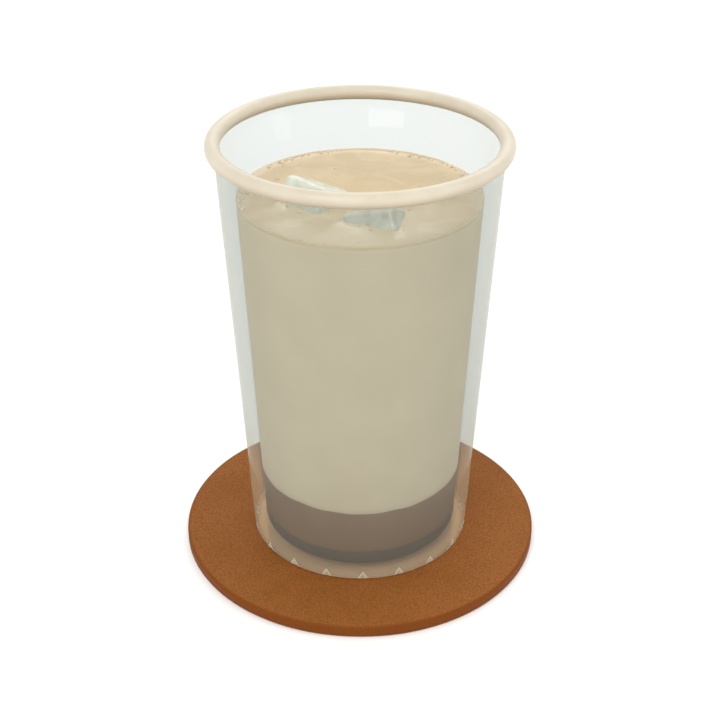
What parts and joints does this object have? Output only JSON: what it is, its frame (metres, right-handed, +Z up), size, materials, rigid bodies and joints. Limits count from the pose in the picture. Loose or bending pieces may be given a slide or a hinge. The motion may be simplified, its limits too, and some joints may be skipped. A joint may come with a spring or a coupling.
{
  "type": "iced mocha in a tumbler",
  "caption": "Tall tapered glass of iced mocha with layers of syrup, dark coffee and milk coffee, ice at the top, an ivory bead round the lip, on a round leather coaster.",
  "frame": {"origin": "centre of the coaster's underside", "axes": "+Z up through the middle of the glass, -Y towards the front, where the ice lies nearest the wall"},
  "size_m": [0.11, 0.11, 0.1326],
  "materials": {
    "leather": "saddle-brown vegetable-tanned leather, satin, burnished edge",
    "glass": "clear pressed glass with a faint grey-green tint, polished",
    "ivory_bead": "opaque ivory glass, fire-polished",
    "syrup": "dark chocolate syrup",
    "dark_coffee": "chocolate and coffee, opaque",
    "milk_coffee": "milky coffee, opaque, wet surface",
    "ice": "wet ice, clear outside and cloudy in the middle"
  },
  "bodies": {
    "root": {"coaster": "leather", "glass": "glass", "lip_bead": "ivory_bead", "chocolate_syrup": "syrup", "dark_coffee": "dark_coffee", "milk_coffee": "milk_coffee", "ice_front": "ice", "ice_back": "ice"}
  },
  "joints": []
}
